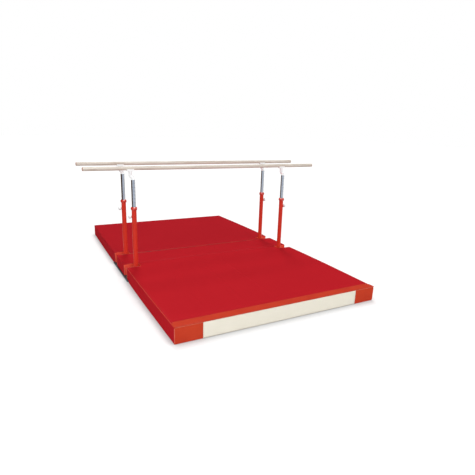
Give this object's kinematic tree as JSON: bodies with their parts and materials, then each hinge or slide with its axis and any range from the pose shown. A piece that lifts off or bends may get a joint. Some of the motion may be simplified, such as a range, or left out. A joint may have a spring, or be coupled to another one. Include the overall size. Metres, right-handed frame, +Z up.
{
  "type": "parallel bars",
  "caption": "Parallel bars: oval timber rails on telescopic clamped uprights with swan-neck heads, on a steel floor frame, with landing mats cut to fit round the uprights.",
  "frame": {"origin": "on the floor, midway between the four uprights, under the middle of the centre mat", "axes": "+X along the rails towards the right-hand uprights, +Y across the rails away from the front mat, +Z up"},
  "size_m": [3.5, 4.471, 1.522],
  "materials": {
    "dark_paint": "satin",
    "black_rubber": "matte",
    "red_paint": "gloss",
    "zinc_steel": "satin",
    "black_plastic": "matte",
    "white_nylon": "satin",
    "chrome_tube": "polished",
    "white_paint": "gloss",
    "white_knob": "gloss",
    "rail_wood": "satin",
    "glass_fibre": "satin",
    "brown_cap": "satin",
    "mat_vinyl": "satin",
    "flap_vinyl": "satin",
    "cream_loop": "matte"
  },
  "bodies": {
    "floor_frame": {"end_plate_left": "dark_paint", "end_plate_right": "dark_paint", "rubber_soles": "black_rubber", "side_beam_front": "red_paint", "side_beam_rear": "red_paint", "beam_bolts": "zinc_steel", "beam_end_caps": "black_plastic", "flange_bolts": "zinc_steel", "collar_screws": "red_paint", "guide_bushes": "white_nylon", "upright_socket_fl": "red_paint", "upright_socket_fr": "red_paint", "upright_socket_rl": "red_paint", "upright_socket_rr": "red_paint", "outer_tube_fl": "red_paint", "outer_tube_fr": "red_paint", "outer_tube_rl": "red_paint", "outer_tube_rr": "red_paint", "collar_fl": "red_paint", "collar_fr": "red_paint", "collar_rl": "red_paint", "collar_rr": "red_paint"},
    "tube_fl": {"inner_tube_fl": "chrome_tube", "tube_plug_fl": "black_plastic"},
    "neck_fl": {"swan_neck_fl": "white_paint", "pivot_pin_fl": "zinc_steel"},
    "knob_fl": {"clamp_knob_fl": "white_knob"},
    "tube_fr": {"inner_tube_fr": "chrome_tube", "tube_plug_fr": "black_plastic"},
    "neck_fr": {"swan_neck_fr": "white_paint", "pivot_pin_fr": "zinc_steel"},
    "knob_fr": {"clamp_knob_fr": "white_knob"},
    "tube_rl": {"inner_tube_rl": "chrome_tube", "tube_plug_rl": "black_plastic"},
    "neck_rl": {"swan_neck_rl": "white_paint", "pivot_pin_rl": "zinc_steel"},
    "knob_rl": {"clamp_knob_rl": "white_knob"},
    "tube_rr": {"inner_tube_rr": "chrome_tube", "tube_plug_rr": "black_plastic"},
    "neck_rr": {"swan_neck_rr": "white_paint", "pivot_pin_rr": "zinc_steel"},
    "knob_rr": {"clamp_knob_rr": "white_knob"},
    "front_rail": {"rail_front": "rail_wood", "rail_core_front": "glass_fibre", "rail_caps_front": "brown_cap", "saddle_fl": "white_paint", "saddle_fr": "white_paint", "saddle_screws_front": "zinc_steel"},
    "rear_rail": {"rail_rear": "rail_wood", "rail_core_rear": "glass_fibre", "rail_caps_rear": "brown_cap", "saddle_rl": "white_paint", "saddle_rr": "white_paint", "saddle_screws_rear": "zinc_steel"},
    "front_mat": {"landing_mat_front": "mat_vinyl", "loop_panel": "cream_loop"},
    "rear_mat": {"landing_mat_rear": "mat_vinyl"},
    "middle_mat": {"centre_mat": "mat_vinyl"},
    "mat_flap": {"joining_flap": "flap_vinyl"}
  },
  "joints": [
    {"name": "lift_fl", "type": "slide", "parent": "floor_frame", "child": "tube_fl", "axis": [0, 0, 1], "range_m": [-0.2, 0.49]},
    {"name": "swivel_fl", "type": "hinge", "parent": "tube_fl", "child": "neck_fl", "pos_m": [-1.165, -0.298, 1.387], "axis": [0, 0, 1], "range_deg": [-78, 102]},
    {"name": "clamp_turn_fl", "type": "hinge", "parent": "floor_frame", "child": "knob_fl", "pos_m": [-1.225, -0.298, 0.854], "axis": [-1, 0, 0], "range_deg": [0, 360]},
    {"name": "lift_fr", "type": "slide", "parent": "floor_frame", "child": "tube_fr", "axis": [0, 0, 1], "range_m": [-0.2, 0.49]},
    {"name": "swivel_fr", "type": "hinge", "parent": "tube_fr", "child": "neck_fr", "pos_m": [1.165, -0.298, 1.387], "axis": [0, 0, 1], "range_deg": [-78, 102]},
    {"name": "clamp_turn_fr", "type": "hinge", "parent": "floor_frame", "child": "knob_fr", "pos_m": [1.225, -0.298, 0.854], "axis": [1, 0, 0], "range_deg": [0, 360]},
    {"name": "lift_rl", "type": "slide", "parent": "floor_frame", "child": "tube_rl", "axis": [0, 0, 1], "range_m": [-0.21, 0.48]},
    {"name": "swivel_rl", "type": "hinge", "parent": "tube_rl", "child": "neck_rl", "pos_m": [-1.165, 0.298, 1.387], "axis": [0, 0, 1], "range_deg": [-102, 78]},
    {"name": "clamp_turn_rl", "type": "hinge", "parent": "floor_frame", "child": "knob_rl", "pos_m": [-1.225, 0.298, 0.854], "axis": [-1, 0, 0], "range_deg": [0, 360]},
    {"name": "lift_rr", "type": "slide", "parent": "floor_frame", "child": "tube_rr", "axis": [0, 0, 1], "range_m": [-0.21, 0.48]},
    {"name": "swivel_rr", "type": "hinge", "parent": "tube_rr", "child": "neck_rr", "pos_m": [1.165, 0.298, 1.387], "axis": [0, 0, 1], "range_deg": [-102, 78]},
    {"name": "clamp_turn_rr", "type": "hinge", "parent": "floor_frame", "child": "knob_rr", "pos_m": [1.225, 0.298, 0.854], "axis": [1, 0, 0], "range_deg": [0, 360]},
    {"name": "rail_turn_front", "type": "hinge", "parent": "neck_fl", "child": "front_rail", "pos_m": [-1.19434, -0.29176, 1.44], "axis": [0, 0, 1], "range_deg": [-102, 78]},
    {"name": "rail_turn_rear", "type": "hinge", "parent": "neck_rl", "child": "rear_rail", "pos_m": [-1.19434, 0.29176, 1.44], "axis": [0, 0, 1], "range_deg": [-78, 102]},
    {"name": "front_mat_pull", "type": "slide", "parent": "floor_frame", "child": "front_mat", "axis": [0, -1, 0], "range_m": [0, 0.6]},
    {"name": "rear_mat_pull", "type": "slide", "parent": "floor_frame", "child": "rear_mat", "axis": [0, 1, 0], "range_m": [0, 0.6]},
    {"name": "middle_mat_lift", "type": "slide", "parent": "floor_frame", "child": "middle_mat", "axis": [0, 0, 1], "range_m": [0, 1.6]},
    {"name": "flap_fold", "type": "hinge", "parent": "front_mat", "child": "mat_flap", "pos_m": [0, -2.238, 0.182], "axis": [1, 0, 0], "range_deg": [0, 270]}
  ],
  "couplings": [
    {"joint": "lift_fr", "follows": "lift_fl", "ratio": 1},
    {"joint": "swivel_fr", "follows": "swivel_fl", "ratio": 1},
    {"joint": "lift_rr", "follows": "lift_rl", "ratio": 1},
    {"joint": "swivel_rr", "follows": "swivel_rl", "ratio": 1},
    {"joint": "rail_turn_front", "follows": "swivel_fl", "ratio": -1},
    {"joint": "rail_turn_rear", "follows": "swivel_rl", "ratio": -1}
  ]
}
